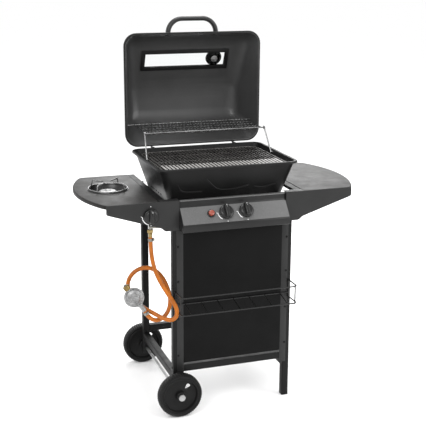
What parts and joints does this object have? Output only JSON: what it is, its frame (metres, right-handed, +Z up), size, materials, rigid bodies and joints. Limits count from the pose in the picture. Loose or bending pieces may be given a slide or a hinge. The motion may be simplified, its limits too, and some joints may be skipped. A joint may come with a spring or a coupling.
{
  "type": "gas barbecue grill",
  "caption": "Two-wheeled gas barbecue on a square-tube cart, with an open cast lid, window, side shelves, side burner, control knobs, wire rack and gas hose.",
  "frame": {"origin": "on the ground, under the middle of the whole grill without its hose and regulator", "axes": "+Z up, the controls face -Y, +X to the right of someone who stands in front"},
  "size_m": [0.96, 0.6522, 1.282],
  "materials": {
    "frame_paint": "satin black paint on square steel tube",
    "foot_plastic": "moulded black plastic",
    "axle_steel": "zinc plated steel",
    "wheel_plastic": "moulded dark plastic",
    "panel_paint": "dark grey paint on sheet steel",
    "console_paint": "grey metallic paint on sheet steel",
    "shelf_paint": "grey hammered paint on pressed steel",
    "cast_paint": "heat proof paint on cast aluminium",
    "grate_enamel": "black enamel on steel rod",
    "plate_steel": "folded sheet steel",
    "burner_steel": "stainless tube",
    "zinc": "zinc plated steel",
    "brass": "turned brass",
    "knob_plastic": "moulded black plastic",
    "red_plastic": "moulded red plastic",
    "bowl_enamel": "black enamel on pressed steel",
    "burner_aluminium": "cast aluminium",
    "chrome_wire": "plated steel wire",
    "window_glass": "clear heat proof glass",
    "frame_black": "black paint",
    "handle_plastic": "moulded black plastic",
    "hose_rubber": "orange gas hose rubber",
    "regulator_zinc": "die cast, unpainted"
  },
  "bodies": {
    "cart": {"axle": "axle_steel", "axle_caps": "axle_steel", "back_rail": "frame_paint", "burner_left": "burner_steel", "burner_right": "burner_steel", "control_panel": "console_paint", "electrode": "axle_steel", "fascia_left": "panel_paint", "fascia_right": "panel_paint", "firebox": "cast_paint", "foot_caps": "foot_plastic", "front_panel": "panel_paint", "front_rail": "frame_paint", "grease_cup": "zinc", "heat_plate": "plate_steel", "hinge_brackets": "frame_paint", "hose": "hose_rubber", "hose_clamps": "zinc", "hose_nozzle": "brass", "igniter_body": "knob_plastic", "leg_back_left": "frame_paint", "leg_back_right": "frame_paint", "leg_front_left": "frame_paint", "leg_front_right": "frame_paint", "main_valves": "brass", "manifold": "axle_steel", "panel_strips": "panel_paint", "regulator": "regulator_zinc", "screws": "axle_steel", "shelf_brackets": "frame_paint", "shelf_left": "shelf_paint", "shelf_rails": "frame_paint", "shelf_right": "shelf_paint", "side_burner_bowl": "bowl_enamel", "side_burner_cap": "burner_aluminium", "side_burner_head": "burner_aluminium", "side_rails": "frame_paint", "side_valve": "brass", "upper_rails": "frame_paint", "wire_rack": "chrome_wire"},
    "lid": {"lid": "cast_paint", "lid_hinge_leaves": "frame_paint", "handle": "handle_plastic", "window_glass": "window_glass", "window_frame": "frame_black", "thermometer": "frame_black"},
    "warming_rack": {"warming_rack": "chrome_wire"},
    "rack_legs": {"rack_legs": "chrome_wire"},
    "wheel_front": {"wheel_front": "wheel_plastic"},
    "wheel_back": {"wheel_back": "wheel_plastic"},
    "stem_left": {"stem_left": "axle_steel"},
    "stem_right": {"stem_right": "axle_steel"},
    "stem_side": {"stem_side": "axle_steel"},
    "knob_left": {"knob_left": "knob_plastic"},
    "knob_right": {"knob_right": "knob_plastic"},
    "knob_side": {"knob_side": "knob_plastic"},
    "igniter_button": {"igniter_button": "red_plastic"},
    "cooking_grate": {"cooking_grate": "grate_enamel"},
    "pot_support": {"pot_support": "chrome_wire"},
    "regulator_nut": {"regulator_nut": "brass"}
  },
  "joints": [
    {"name": "lid_hinge", "type": "hinge", "parent": "cart", "child": "lid", "pos_m": [0, 0.17112, 0.82], "axis": [1, 0, 0], "range_deg": [0, 90]},
    {"name": "rack_leg_swing", "type": "hinge", "parent": "cart", "child": "rack_legs", "pos_m": [0, -0.00887, 0.82], "axis": [1, 0, 0], "range_deg": [0, 90]},
    {"name": "rack_tilt", "type": "hinge", "parent": "lid", "child": "warming_rack", "pos_m": [0, 0.22112, 0.9], "axis": [1, 0, 0], "range_deg": [-90, 0]},
    {"name": "wheel_front_roll", "type": "hinge", "parent": "cart", "child": "wheel_front", "pos_m": [-0.197, -0.28087, 0.075], "axis": [0, 1, 0], "continuous": true},
    {"name": "wheel_back_roll", "type": "hinge", "parent": "cart", "child": "wheel_back", "pos_m": [-0.197, 0.19312, 0.075], "axis": [0, 1, 0], "continuous": true},
    {"name": "knob_left_turn", "type": "hinge", "parent": "cart", "child": "stem_left", "pos_m": [-0.032, -0.26438, 0.6854], "axis": [0, -0.7682, 0.6402], "range_deg": [0, 180]},
    {"name": "knob_left_push", "type": "slide", "parent": "stem_left", "child": "knob_left", "axis": [0, 0.7682, -0.6402], "range_m": [0, 0.003], "stiffness_N_per_m": 400},
    {"name": "knob_right_turn", "type": "hinge", "parent": "cart", "child": "stem_right", "pos_m": [0.037, -0.26438, 0.6854], "axis": [0, -0.7682, 0.6402], "range_deg": [0, 180]},
    {"name": "knob_right_push", "type": "slide", "parent": "stem_right", "child": "knob_right", "axis": [0, 0.7682, -0.6402], "range_m": [0, 0.003], "stiffness_N_per_m": 400},
    {"name": "knob_side_turn", "type": "hinge", "parent": "cart", "child": "stem_side", "pos_m": [-0.28, -0.24938, 0.689], "axis": [0, -1, 0], "range_deg": [0, 180]},
    {"name": "knob_side_push", "type": "slide", "parent": "stem_side", "child": "knob_side", "axis": [0, 1, 0], "range_m": [0, 0.003], "stiffness_N_per_m": 400},
    {"name": "igniter_press", "type": "slide", "parent": "cart", "child": "igniter_button", "axis": [0, 0.7682, -0.6402], "range_m": [0, 0.005], "stiffness_N_per_m": 400},
    {"name": "grate_lift", "type": "slide", "parent": "cart", "child": "cooking_grate", "axis": [0, 0, 1], "range_m": [0, 0.04]},
    {"name": "pot_support_lift", "type": "slide", "parent": "cart", "child": "pot_support", "axis": [0, 0, 1], "range_m": [0, 0.05]},
    {"name": "regulator_nut_turn", "type": "hinge", "parent": "cart", "child": "regulator_nut", "pos_m": [-0.36134, -0.23963, 0.45566], "axis": [0.5557, -0.101, -0.8252], "continuous": true}
  ],
  "couplings": [
    {"joint": "rack_leg_swing", "follows": "lid_hinge", "ratio": 1},
    {"joint": "rack_tilt", "follows": "lid_hinge", "ratio": -1}
  ]
}
